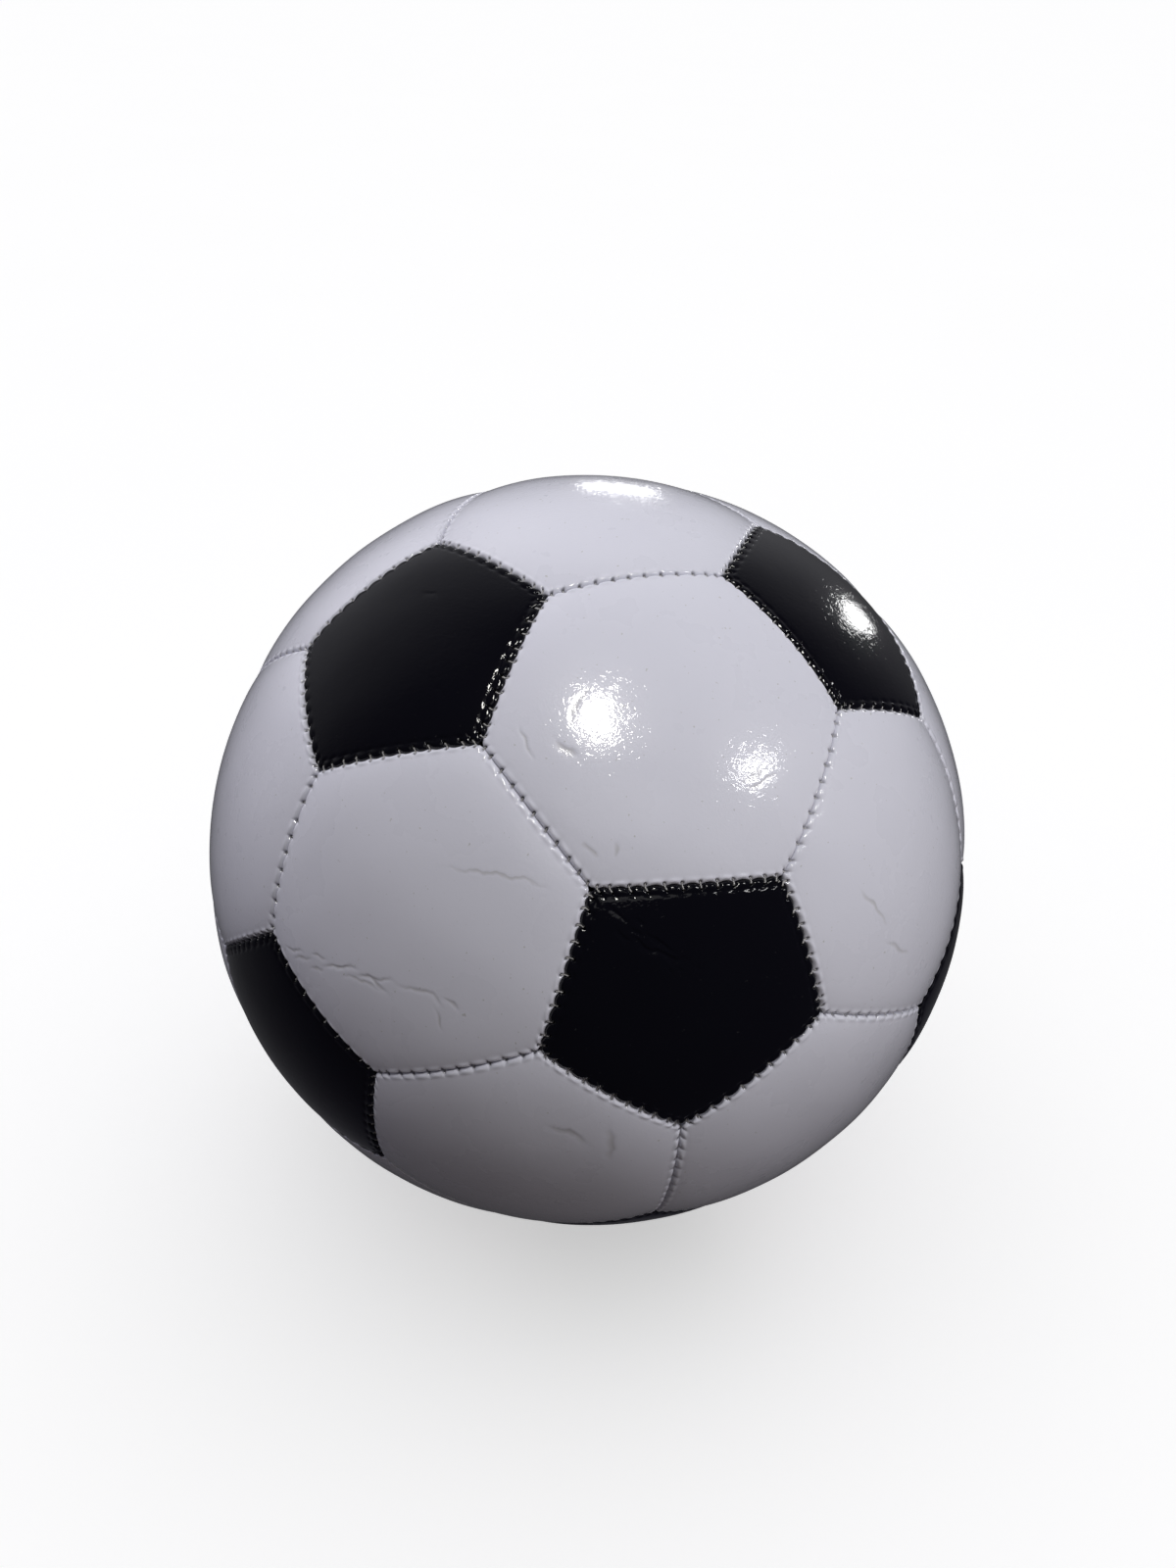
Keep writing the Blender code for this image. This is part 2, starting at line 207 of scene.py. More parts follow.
# Creases in the cover, as points on a panel in mm: to the right of its centre and up from it,
# seen from outside. Each has its depth and half its width.
CREASES = {
    "hexagon_panel_05": (
        (0.12, 0.40, ((-36, -19), (-33.5, -18.5), (-29, -17.5))),
        (0.09, 0.40, ((-33, -20.5), (-28.5, -19), (-25.5, -18))),
        (0.12, 0.38, ((-26, -17), (-23.5, -16.5), (-21, -16.5))),
        (0.17, 0.42, ((-21.5, -18.5), (-19.5, -18), (-15.5, -16.5), (-11, -15.5))),
        (0.10, 0.40, ((-26.5, -21), (-21.5, -19.5))),
        (0.16, 0.42, ((-11, -17), (-5.5, -16.5), (-1, -15.5))),
        (0.10, 0.42, ((-15, -19), (-11, -18), (-6.5, -18.5), (-3.5, -19))),
        (0.15, 0.40, ((-10, -17), (-6, -17), (-4, -18), (-1.5, -19.5))),
        (0.11, 0.42, ((0, -16), (3, -16.5), (7, -15.5), (10, -16), (13, -18.5))),
        (0.11, 0.40, ((12.5, -16), (15, -17), (17, -18.5))),
        (0.08, 0.42, ((11, -19.5), (12.5, -22.5), (13, -25))),
        (0.05, 0.50, ((7.5, 15), (13.5, 15.5), (19.5, 16.5), (24.5, 16.5), (28.5, 17), (31, 16), (34, 15))),
    ),
    "pentagon_panel_04": (
        (0.21, 0.60, ((-19, 25.5), (-17, 24), (-15, 22))),
        (0.20, 0.52, ((-13.5, 22.5), (-11, 21))),
        (0.21, 0.56, ((-17.5, 20.5), (-16, 18.5), (-14.5, 17))),
        (0.20, 0.52, ((-14.5, 20.5), (-11.5, 18.5))),
        (0.34, 0.60, ((-14.5, 18.5), (-11.5, 16), (-8, 14.5), (-4.5, 12.5), (-1.5, 12))),
        (0.30, 0.56, ((-11, 19.5), (-8, 16.5), (-4, 14.5))),
        (0.10, 0.50, ((0.5, 10.5), (2, 9.5))),
        (0.16, 0.35, ((-6, 10), (-5, 10))),
        (0.18, 0.35, ((-3.5, 10), (-2.5, 9.5))),
    ),
    "hexagon_panel_02": (
        (0.06, 0.60, ((-25.5, -28), (-22, -32))),
        (0.06, 0.60, ((-17.5, -29), (-18, -33))),
        (0.050, 0.80, ((-24, -1.5), (-24, 2.5), (-22, 5.5), (-18, 8.5))),
        (0.13, 0.90, ((-28, -3), (-26.5, -5.5), (-23.5, -8.5))),
        (0.13, 0.36, ((-36, 1.5), (-35, -3), (-34, -7))),
        (0.045, 0.60, ((13.5, -19), (17, -17), (21.5, -15.5))),
        (0.045, 0.60, ((14.5, -20.5), (19, -18.5), (24, -16))),
        (0.035, 0.50, ((15, -17), (18.5, -15.5), (21, -14))),
    ),
    "hexagon_panel_06": (
        (0.05, 0.60, ((-23, 4.5), (-18.5, -2.5), (-14.5, -10))),
        (0.07, 0.60, ((-16.5, -13), (-6.5, -22))),
    ),
    "pentagon_panel_01": (
        (0.12, 0.60, ((-5.5, 14.5), (0, 15))),
        (0.05, 0.80, ((12, -4), (20, -6), (26, -9))),
    ),
    "hexagon_panel_10": (
        (0.08, 0.90, ((8.5, 26), (14.5, 25), (19, 20))),
        (0.10, 1.0, ((24, 26), (25, 20), (24, 13))),
    ),
}
CREASE_STEEP_SIDE = 0.6  # how wide a crease's steep upper side is, as a share of its width
CREASE_GENTLE_SIDE = 1.6


# Small helpers


def unit(vectors):
    return vectors / np.linalg.norm(vectors, axis=-1, keepdims=True)


def hump(distance, width):
    """1 at distance 0, falling to 0 over a few widths."""
    return np.exp(-((distance / width) ** 2))


def smooth_step(value, low, high):
    share = np.clip((value - low) / (high - low), 0, 1)
    return share * share * (3 - 2 * share)


def points_of(node):
    return np.array([vert.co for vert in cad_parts[node].data.vertices])


def toward(azimuth, elevation):
    """A unit vector. Azimuth 0 is in front, towards -Y, and grows to the right; both in degrees."""
    turn = math.radians(azimuth)
    rise = math.radians(elevation)
    return Vector((math.sin(turn) * math.cos(rise), -math.cos(turn) * math.cos(rise), math.sin(rise)))


def add_object(name, data):
    thing = bpy.data.objects.new(name, data)
    bpy.context.scene.collection.objects.link(thing)
    return thing


def add_piece(name, mesh, material, body, node):
    mesh.materials.append(material)
    piece = add_object(name, mesh)
    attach(piece, body)
    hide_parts(node)


# The pattern


def seam_pattern():
    """A truncated icosahedron on the unit sphere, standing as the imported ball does."""
    pattern = bmesh.new()
    bmesh.ops.create_icosphere(pattern, subdivisions=1, radius=1)
    bmesh.ops.bevel(
        pattern,
        geom=pattern.verts,
        affect="VERTICES",
        offset_type="PERCENT",
        offset=CORNER_CUT_PERCENT,
        segments=1,
    )
    top = next(face for face in pattern.faces if len(face.verts) == 6)
    around = [other for edge in top.edges for other in edge.link_faces if other is not top]
    front = next(face for face in around if len(face.verts) == 6)
    up = top.calc_center_median().normalized()
    across = front.calc_center_median().normalized()
    back = -(across - up * across.dot(up)).normalized()
    turn = Matrix((back.cross(up), back, up))
    for corner in pattern.verts:
        corner.co = turn @ corner.co.normalized()
    pattern.normal_update()
    return pattern


def node_of_each_face(pattern):
    """The CAD panel node that lies in each face's direction."""
    directions = {
        name: Vector(points_of(name).mean(axis=0)).normalized()
        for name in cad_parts
        if "_panel" in name
    }
    return {
        face: max(directions, key=lambda name: directions[name].dot(face.calc_center_median()))
        for face in pattern.faces
    }


def move_corners(pattern, node_of, rng):
    """Moves each seam corner along the ball by its drift."""
    known = {
        (f"hexagon_panel_{one:02}", f"hexagon_panel_{other:02}", f"pentagon_panel_{black:02}"): drift
        for (one, other, black), drift in CORNER_DRIFTS.items()
    }
    meeting = {}
    for corner in pattern.verts:
        meeting[tuple(sorted(node_of[face] for face in corner.link_faces))] = corner
    for names in sorted(meeting):
        corner = meeting[names]
        right = Vector((0, 0, 1)).cross(corner.co).normalized()
        up = corner.co.cross(right)
        elsewhere = rng.normal(0, DRIFT_ELSEWHERE, 2).clip(-2 * DRIFT_ELSEWHERE, 2 * DRIFT_ELSEWHERE)
        drift = np.array(known[names]) * MM if names in known else elsewhere
        corner.co = (corner.co + (right * drift[0] + up * drift[1]) / BALL_RADIUS).normalized()


class Seam:
    """Where two panels are sewn together: its stitches, and the points along it that both share."""

    def __init__(self, edge, rng):
        self.length = edge.verts[0].co.angle(edge.verts[1].co) * BALL_RADIUS
        inner = self.length - 2 * (CORNER_STITCH + CORNER_STITCH_PITCH)
        gaps = round(inner / STITCH_PITCH)
        evenly = CORNER_STITCH + CORNER_STITCH_PITCH + inner * np.arange(gaps + 1) / gaps
        places = np.concatenate([[CORNER_STITCH], evenly, [self.length - CORNER_STITCH]])
        jitter = rng.uniform(-STITCH_JITTER, STITCH_JITTER, len(places))
        self.stitches = places + jitter
        self.lean = STITCH_LEAN * (1 + rng.uniform(-0.4, 0.4, len(places)))
        self.inset_jitter = rng.uniform(-HOLE_INSET_JITTER, HOLE_INSET_JITTER, (2, len(places)))
        self.swells = rng.uniform(0.65, 1.25, (2, len(places) + 1))
        self.samples = self.crowded_samples()

    def crowded_samples(self):
        """Shares of the length, closer together at the stitches."""
        fine = np.linspace(0, self.length, 4000)
        near_stitch = hump(fine[:, None] - self.stitches, CROWDED_WIDTH).sum(axis=1)
        crowding = 1 + STITCH_CROWDING * near_stitch
        reached = np.concatenate([[0], np.cumsum((crowding[1:] + crowding[:-1]) / 2)])
        even = np.linspace(0, reached[-1], SEAM_SAMPLES + 1)
        return np.interp(even, reached, fine) / self.length


class Side:
    """One panel's side of a seam, run through anticlockwise seen from outside the ball."""

    def __init__(self, seam, start, end, reverse, is_black, beside_black):
        turned = slice(None, None, -1) if reverse else slice(None)
        which = 1 if reverse else 0
        self.seam = seam
        self.start = np.array(start)
        self.end = np.array(end)
        self.plane = unit(np.cross(self.start, self.end))
        self.samples = (1 - seam.samples)[turned] if reverse else seam.samples
        half_lean = seam.lean / 2 * (1 if reverse else -1)
        self.holes = self.from_start(seam.stitches + half_lean, reverse)
        self.stitches = self.from_start(seam.stitches, reverse)
        white_inset = BESIDE_BLACK_INSET if beside_black else WHITE_HOLE_INSET
        self.insets = (BLACK_HOLE_INSET if is_black else white_inset) + seam.inset_jitter[which][turned]
        is_tighter = reverse and not (is_black or beside_black)
        self.hole_share = HIDDEN_HOLE if is_tighter else 1.0
        self.swells = seam.swells[which][turned]
        self.groove_depth = BLACK_GROOVE_DEPTH if is_black else WHITE_GROOVE_DEPTH
        self.lobe = LOBE * (beside_black - is_black)

    def from_start(self, places, reverse):
        return (self.seam.length - places)[::-1] if reverse else places


class Panel:
    def __init__(self, name, sides):
        self.name = name
        self.sides = sides
        self.is_black = len(sides) == 5
        self.is_creased = name in CREASES
        self.middle = np.mean([side.start for side in sides], axis=0)
        self.centre = unit(self.middle)
        reaches = [math.asin(float(side.plane @ self.centre)) for side in sides]
        self.apothem = float(np.mean(reaches))
        on_top = abs(self.centre[2]) > 0.999
        self.right = np.array((1.0, 0, 0)) if on_top else unit(np.cross((0, 0, 1), self.centre))
        self.up = np.cross(self.centre, self.right)

    def shrink(self, inset):
        """How far the panel's outline shrinks about its centre to lie this far in from its seams."""
        return np.tan(self.apothem - inset / BALL_RADIUS) / math.tan(self.apothem)

    def directions(self, side, share, inset):
        """Unit vectors to points at this share of a side's length, and this far in from it."""
        flat = side.start + (side.end - side.start) * np.asarray(share)[..., None]
        shrink = np.asarray(self.shrink(inset))[..., None]
        return unit(self.middle + shrink * (flat - self.middle))

    def sheet_place(self, directions):
        """How far right and up of the panel's centre these directions are, along the ball."""
        cosine = np.clip(directions @ self.centre, -1, 1)
        along = np.arccos(cosine) * BALL_RADIUS
        across = directions - cosine[:, None] * self.centre
        size = np.linalg.norm(across, axis=1) + 1e-12
        return along * (across @ self.right) / size, along * (across @ self.up) / size


def read_pattern():
    """The seams and panels, in an order that doesn't change between runs."""
    rng = np.random.default_rng(SEED)
    pattern = seam_pattern()
    node_of = node_of_each_face(pattern)
    move_corners(pattern, node_of, rng)
    seam_names = {edge: tuple(sorted(node_of[face] for face in edge.link_faces)) for edge in pattern.edges}
    seams = {edge: Seam(edge, rng) for edge in sorted(pattern.edges, key=seam_names.get)}
    first_side = {edge: min(edge.link_faces, key=node_of.get) for edge in pattern.edges}
    panels = []
    for face in sorted(pattern.faces, key=node_of.get):
        sides = []
        for loop in face.loops:
            reverse = first_side[loop.edge] is not face
            beside = next(other for other in loop.edge.link_faces if other is not face)
            ends = (loop.vert.co, loop.link_loop_next.vert.co)
            is_black = len(face.verts) == 5
            beside_black = len(beside.verts) == 5
            sides.append(Side(seams[loop.edge], *ends, reverse, is_black, beside_black))
        panels.append(Panel(node_of[face], sides))
    pattern.free()
    return panels


# The surface of a panel


def pillow(panel, directions):
    """How far the cover sinks towards the panel's seams. It is smooth across the whole panel."""
    fall = 0
    for side in panel.sides:
        inset = np.arcsin(np.clip(directions @ side.plane, -1, 1)) * BALL_RADIUS
        fall = fall + np.exp(-np.clip(inset, 0, None) / PILLOW_REACH)
    return PILLOW_DEPTH * np.minimum(fall, 1.6)


def waviness(directions):
    """Slow unevenness of the cover, as if its lining had stretched unevenly, and the ball's bulges."""
    place = directions * BALL_RADIUS / MM
    wave = 0
    for turn, length, height in SLOW_WAVES:
        along = place @ np.array((math.cos(turn), math.sin(turn), 0.6))
        across = place @ np.array((-math.sin(turn), 0.5, math.cos(turn)))
        sway = 1.3 * np.sin(across * 1.9 / length + turn)
        wave = wave + height * np.sin(along * 2 * math.pi / length + sway)
    for azimuth, elevation, reach, height in BULGES:
        cosine = np.clip(directions @ np.array(toward(azimuth, elevation)), -1, 1)
        wave = wave + height * hump(np.degrees(np.arccos(cosine)), reach)
    return wave * MM - WAVE_TOP


def along_phase(side, place):
    """0 at a stitch and 1 half way to the next one, and the gap's number."""
    ends = np.concatenate([[-side.stitches[0]], side.stitches, [2 * side.seam.length - side.stitches[-1]]])
    gap = np.clip(np.searchsorted(ends, place) - 1, 0, len(ends) - 2)
    share = (place - ends[gap]) / (ends[gap + 1] - ends[gap])
    return np.sin(math.pi * share) ** 2, np.clip(gap, 0, len(side.swells) - 1)


def edge_roll(inset):
    inward = np.clip((ROLL_WIDTH - inset) / ROLL_WIDTH, 0, 1)
    return ROLL_DEPTH * (1 - np.sqrt(1 - np.minimum(inward, 0.985) ** 2))


def stitched_height(side, place, inset):
    """(height, how dark the painted shade is) along one side of a panel, from its rolled edge, stitches and
    holes.
    """
    middle, gap = along_phase(side, place)
    height = -edge_roll(inset)
    height += SWELL_HEIGHT * side.swells[gap] * middle * hump(inset - SWELL_INSET, SWELL_REACH)
    groove = hump(inset - GROOVE_INSET, GROOVE_WIDTH)
    height -= side.groove_depth * groove * (1.25 - 1.1 * middle)
    # Painted shade along the seam's valley, and much darker painted shade in each stitch hole.
    dark = SEAM_PAINTED_SHADE * hump(inset, SEAM_PAINTED_SHADE_REACH)
    for stitch, hole, hole_inset in zip(side.stitches, side.holes, side.insets):
        near_stitch = hump(place - stitch, PINCH_WIDTH)
        height -= PINCH_DEPTH * near_stitch * hump(inset, PINCH_REACH)
        off_hole = ((place - hole) / HOLE_WIDTH) ** 2 + ((inset - hole_inset) / HOLE_LENGTH) ** 2
        height -= HOLE_DEPTH * side.hole_share * np.exp(-(off_hole**1.5))
        dark = np.maximum(dark, side.hole_share * np.exp(-((off_hole / 1.5) ** 2)))
    return height, dark


def distance_to_line(x, y, points):
    """(signed distance, 0 at the line's ends rising to 1 inside) for a broken line."""
    best = np.full(x.shape, 1e9)
    signed = np.full(x.shape, 1e9)
    inside = np.zeros(x.shape)
    lengths = [math.dist(one, other) for one, other in zip(points, points[1:])]
    done = 0.0
    for (x0, y0), (x1, y1), length in zip(points, points[1:], lengths):
        along = ((x - x0) * (x1 - x0) + (y - y0) * (y1 - y0)) / length
        side = ((x - x0) * (y1 - y0) - (y - y0) * (x1 - x0)) / length
        clipped = np.clip(along, 0, length)
        distance = np.hypot(side, along - clipped)
        nearer = distance < best
        best = np.where(nearer, distance, best)
        signed = np.where(nearer, np.copysign(distance, side), signed)
        share = (done + clipped) / sum(lengths)
        inside = np.where(nearer, np.sin(math.pi * np.clip(share, 0.02, 0.98)) ** 0.6, inside)
        done += length
    return signed, inside


def creased_height(panel, directions):
    """(height, how deep in a crease from 0 to 1) from the creases in a panel's cover."""
    height = np.zeros(len(directions))
    deep = np.zeros(len(directions))
    if not panel.is_creased:
        return height, deep
    x, y = (place / MM for place in panel.sheet_place(directions))
    x_wobble = x + 0.25 * np.sin(y * 1.3 + 0.7) + 0.08 * np.sin(x * 3.1)
    y_wobble = y + 0.28 * np.sin(x * 1.1 + 0.4) + 0.10 * np.sin(x * 2.7 + y * 1.9)
    for depth, width, points in CREASES[panel.name]:
        signed, inside = distance_to_line(x_wobble, y_wobble, points)
        reach = np.where(signed < 0, CREASE_STEEP_SIDE, CREASE_GENTLE_SIDE) * width
        groove = hump(signed, reach) * inside
        height -= depth * groove * MM
        deep = np.maximum(deep, groove)
    return height, deep


# The mesh of a panel


def outer_insets(panel, reach):
    """Distances of the rings from the seam: close together at the edge, and then further apart."""
    coarse = CREASED_STEP if panel.is_creased else COARSE_STEP
    insets = [EDGE_GAP]
    step = FIRST_STEP
    while insets[-1] + step < reach:
        insets.append(insets[-1] + step)
        largest = FINE_STEP if insets[-1] < FINE_REACH else coarse
        step = min(step * STEP_GROWTH, largest)
    return insets


def ring_of(panel, inset, halvings):
    """(directions, places along the seam) of each side's stretch of a ring, once round the panel."""
    evenness = smooth_step(inset, EVEN_FROM, EVEN_BY)
    step = 2**halvings
    even = np.linspace(0, 1, SEAM_SAMPLES + 1)
    directions = []
    places = []
    for side in panel.sides:
        share = (side.samples * (1 - evenness) + even * evenness)[:-1:step]
        place = share * side.seam.length
        corner = np.minimum(place, side.seam.length - place)
        rounding = hump(corner, CORNER_ROUNDING_REACH) * hump(inset, CORNER_REACH)
        pulled = inset + CORNER_ROUNDING * rounding
        lobes = along_phase(side, place)[0] ** LOBE_SHARPNESS - 0.5
        lobes = lobes * smooth_step(corner, 0, CORNER_REACH)
        pulled = pulled + side.lobe * lobes * hump(inset, LOBE_REACH)
        directions.append(panel.directions(side, share, pulled))
        places.append(place)
    return directions, places


def outer_ring(panel, inset, halvings):
    """(points, how dark the painted shade is, how creased) of a ring on the outer surface."""
    directions, places = ring_of(panel, inset, halvings)
    directions = np.concatenate(directions)
    height = dark = np.zeros(len(directions))
    if inset < STITCHED_REACH:
        stitched = [stitched_height(side, place, inset) for side, place in zip(panel.sides, places)]
        height, dark = (np.concatenate(values) for values in zip(*stitched))
    crease, deep = creased_height(panel, directions)
    radius = BALL_RADIUS + height + crease - pillow(panel, directions)
    radius += waviness(directions)
    return directions * radius[:, None], dark, deep


def inner_ring(panel, inset, depth, halvings):
    directions, _ = ring_of(panel, inset, halvings)
    directions = np.concatenate(directions)
    form = waviness(directions) - np.minimum(pillow(panel, directions), PILLOW_DEPTH)
    return directions * (BALL_RADIUS - depth + form * (depth < FOOT_DEPTH))[:, None]


class RingMesh:
    """Gathers rings of points and the faces between them. A ring is its first point and count."""

    def __init__(self):
        self.points = []
        self.quads = []
        self.triangles = []
        self.dark = []
        self.deep = []
        self.count = 0

    def add_ring(self, points, dark=None, deep=None):
        self.points.append(points)
        self.dark.append(np.zeros(len(points)) if dark is None else dark)
        self.deep.append(np.zeros(len(points)) if deep is None else deep)
        ring = (self.count, len(points))
        self.count += len(points)
        return ring

    def add_faces(self, faces, corners, flipped):
        faces.append(np.stack(corners[::-1] if flipped else corners, 1))

    def join(self, one, other, flipped=False):
        """Faces between two rings. The second may have half as many points."""
        first, first_count = one
        second, second_count = other
        number = np.arange(second_count)
        near = second + number
        far = second + (number + 1) % second_count
        if first_count == second_count:
            following = first + (number + 1) % first_count
            self.add_faces(self.quads, [first + number, following, far, near], flipped)
            return
        middle = first + 2 * number + 1
        after = first + (2 * number + 2) % first_count
        self.add_faces(self.quads, [middle, after, far, near], flipped)
        self.add_faces(self.triangles, [first + 2 * number, middle, near], flipped)

    def close(self, ring, pole, flipped=False):
        first, count = ring
        number = np.arange(count)
        fan = [first + number, first + (number + 1) % count, np.full(count, pole[0])]
        self.add_faces(self.triangles, fan, flipped)

    def mesh(self, name):
        mesh = bpy.data.meshes.new(name)
        mesh.vertices.add(self.count)
        mesh.vertices.foreach_set("co", np.concatenate(self.points).astype(np.float32).ravel())
        faces = [array.ravel() for array in (*self.quads, *self.triangles)]
        corners = np.concatenate(faces).astype(np.int32)
        counts = [sum(len(array) for array in arrays) for arrays in (self.quads, self.triangles)]
        sizes = np.repeat([4, 3], counts)
        mesh.loops.add(len(corners))
        mesh.loops.foreach_set("vertex_index", corners)
        mesh.polygons.add(len(sizes))
        mesh.polygons.foreach_set("loop_start", (np.cumsum(sizes) - sizes).astype(np.int32))
        mesh.update(calc_edges=True)
        mesh.shade_smooth()
        # The first attribute carries the painted shade of the seams, the stitch holes and the valve hole's
        # edge.
        for attribute, rings in (("stitch_painted_shade", self.dark), ("crease_depth", self.deep)):
            values = np.concatenate(rings).astype(np.float32)
            mesh.attributes.new(attribute, "FLOAT", "POINT").data.foreach_set("value", values)
        return mesh


def add_outer_surface(made, panel, insets, shaped=None):
    """A ring at each inset, moved by shaped if that is given. Returns the first and last ring."""
    halve_at = HALVE_CREASED_AT if panel.is_creased else HALVE_AT
    rings = []
    for inset in insets:
        points, dark, deep = outer_ring(panel, inset, sum(inset > limit for limit in halve_at))
        if shaped:
            points = shaped(points, inset)
        rings.append(made.add_ring(points, dark, deep))
    for outer, inner in zip(rings, rings[1:]):
        made.join(outer, inner)
    return rings[0], rings[-1]


def add_inner_surface(made, panel, edge):
    """Down the turned-in edge, across the fold's foot and over the lining. Returns the last ring."""
    last = edge
    for inset, depth in WALL:
        ring = made.add_ring(inner_ring(panel, inset, depth, 0))
        made.join(last, ring, flipped=True)
        last = ring
    for halvings, inset in enumerate(LINING_INSETS):
        ring = made.add_ring(inner_ring(panel, inset, PANEL_THICKNESS, halvings))
        made.join(last, ring, flipped=True)
        last = ring
    return last


def panel_mesh(panel):
    made = RingMesh()
    whole = panel.apothem * BALL_RADIUS
    edge, last = add_outer_surface(made, panel, outer_insets(panel, whole - POLE_RADIUS))
    middle = panel.centre[None, :]
    crease, _ = creased_height(panel, middle)
    top = BALL_RADIUS + crease - pillow(panel, middle) + waviness(middle)
    made.close(last, made.add_ring(middle * top[:, None]))
    lining = add_inner_surface(made, panel, edge)
    made.close(lining, made.add_ring(middle * (BALL_RADIUS - PANEL_THICKNESS)), flipped=True)
    return made.mesh(panel.name)


# The valve


class Valve:
    """Where the valve is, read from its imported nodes."""

    def __init__(self):
        self.axis = unit(points_of("valve_boss").mean(axis=0))
        side = unit(np.cross(self.axis, (0, 0, 1)))
        self.across = (side, np.cross(self.axis, side))
        self.boss = self.profile_of(points_of("valve_boss"))
        self.insert = self.profile_of(points_of("valve_insert"))
        self.neck_top = self.boss[:, 1].max()
        near_top = self.boss[:, 1] > self.neck_top - 1 * MM
        self.neck_radius = self.boss[near_top, 0].max()
        self.pocket_radius = self.boss[near_top, 0].min()
        self.hole_radius = self.neck_radius + HOLE_CLEARANCE

    def profile_of(self, points):
        """Each point's distance from the axis, and its height along it."""
        height = points @ self.axis
        off_axis = np.linalg.norm(points - height[:, None] * self.axis, axis=1)
        return np.stack([off_axis, height], 1)

    def circle(self, radius, height):
        angle = np.arange(TURN_STEPS) * 2 * math.pi / TURN_STEPS
        one, other = self.across
        ring = np.cos(angle)[:, None] * one + np.sin(angle)[:, None] * other
        return ring * radius + self.axis * height


def valve_panel_mesh(panel, valve):
    """As any panel, but its rings turn from hexagons into circles round the valve's hole."""
    made = RingMesh()
    whole = panel.apothem * BALL_RADIUS
    halvings = len(HALVE_AT)
    hole_inset = whole - valve.hole_radius - HOLE_EDGE_RADIUS
    wall_inset = hole_inset + HOLE_EDGE_RADIUS

    def rounded(ring_points, inset):
        """Moves a ring's points towards a circle round the axis, keeping each one's radius."""
        size = np.linalg.norm(ring_points, axis=1)
        blend = smooth_step(inset, ROUNDED_FROM, ROUNDED_BY)
        directions = unit(ring_points)
        off = directions - (directions @ panel.centre)[:, None] * panel.centre
        length = np.linalg.norm(off, axis=1)
        wanted = math.sin((whole - inset) / BALL_RADIUS)
        new = length * (1 - blend) + wanted * blend
        moved = off / length[:, None] * new[:, None] + panel.centre * np.sqrt(1 - new**2)[:, None]
        return moved * size[:, None]

    def hole_ring(inset, radius, painted_shade):
        points, _, _ = outer_ring(panel, inset, halvings)
        return made.add_ring(unit(rounded(points, inset)) * radius, np.full(len(points), painted_shade))

    insets = [*outer_insets(panel, hole_inset - 0.2 * MM), hole_inset]
    edge, last = add_outer_surface(made, panel, insets, rounded)
    top = np.linalg.norm(made.points[-1], axis=1).mean()
    # The rounded edge gets painted shade that grows as it turns down into the hole.
    for step in range(1, HOLE_EDGE_STEPS + 1):
        share = step / HOLE_EDGE_STEPS
        angle = share * math.pi / 2
        inset = hole_inset + HOLE_EDGE_RADIUS * math.sin(angle)
        drop = HOLE_EDGE_RADIUS * (1 - math.cos(angle))
        ring = hole_ring(inset, top - drop, HOLE_EDGE_PAINTED_SHADE * share)
        made.join(last, ring)
        last = ring
    foot = hole_ring(wall_inset, BALL_RADIUS - PANEL_THICKNESS, 0.0)
    made.join(last, foot)
    lining = add_inner_surface(made, panel, edge)
    made.join(lining, foot, flipped=True)
    return made.mesh(panel.name)


def rounded_profile(points, radius):
    """The outline with each corner rounded by up to radius. Points are (off axis, height)."""
    outline = []
    corners = np.array(points, float)
    for before, corner, after in zip(np.roll(corners, 1, 0), corners, np.roll(corners, -1, 0)):
        back = before - corner
        on = after - corner
        reach = min(radius, 0.4 * np.linalg.norm(back), 0.4 * np.linalg.norm(on))
        start = corner + back / np.linalg.norm(back) * reach
        end = corner + on / np.linalg.norm(on) * reach
        for step in range(ROUNDING_STEPS + 1):
            share = step / ROUNDING_STEPS
            outline.append((1 - share) ** 2 * start + 2 * share * (1 - share) * corner + share**2 * end)
    return outline


def turned_mesh(name, valve, outline):
    """Turns a closed outline of (off axis, height) about the valve's axis."""
    made = RingMesh()
    rings = [made.add_ring(valve.circle(radius, height)) for radius, height in outline]
    for one, other in zip(rings, [*rings[1:], rings[0]]):
        made.join(one, other)
    return made.mesh(name)


def boss_outline(valve):
    """Neck with a raised lip, flange under the cover, and the pocket for the insert."""
    off_axis, height = valve.boss.T
    flange = off_axis.max()
    rim = height[off_axis > flange - 0.1 * MM]
    bottom = height.min()
    nose_bore = off_axis.min()
    neck = valve.neck_radius
    pocket = valve.pocket_radius
    top = valve.neck_top
    pocket_floor = height[off_axis < pocket + 0.1 * MM].min() + POCKET_FLOOR_THICKNESS
    crown = (flange**2 - neck**2) / (2 * BALL_RADIUS)  # the flange follows the ball's curve
    return [
        (pocket, top - 0.35 * MM),
        (pocket + 0.5 * MM, top - LIP_HEIGHT),
        (neck - LIP_WIDTH - 0.2 * MM, top - LIP_HEIGHT),
        (neck - LIP_WIDTH, top),
        (neck - 0.2 * MM, top),
        (neck, top - 0.3 * MM),
        (neck, rim.max() + crown),
        (flange, rim.max()),
        (flange, rim.min()),
        (neck, rim.min() + crown),
        (neck, bottom + 0.4 * MM),
        (neck - 0.4 * MM, bottom),
        (nose_bore, bottom),
        (nose_bore, pocket_floor),
        (pocket, pocket_floor),
    ]


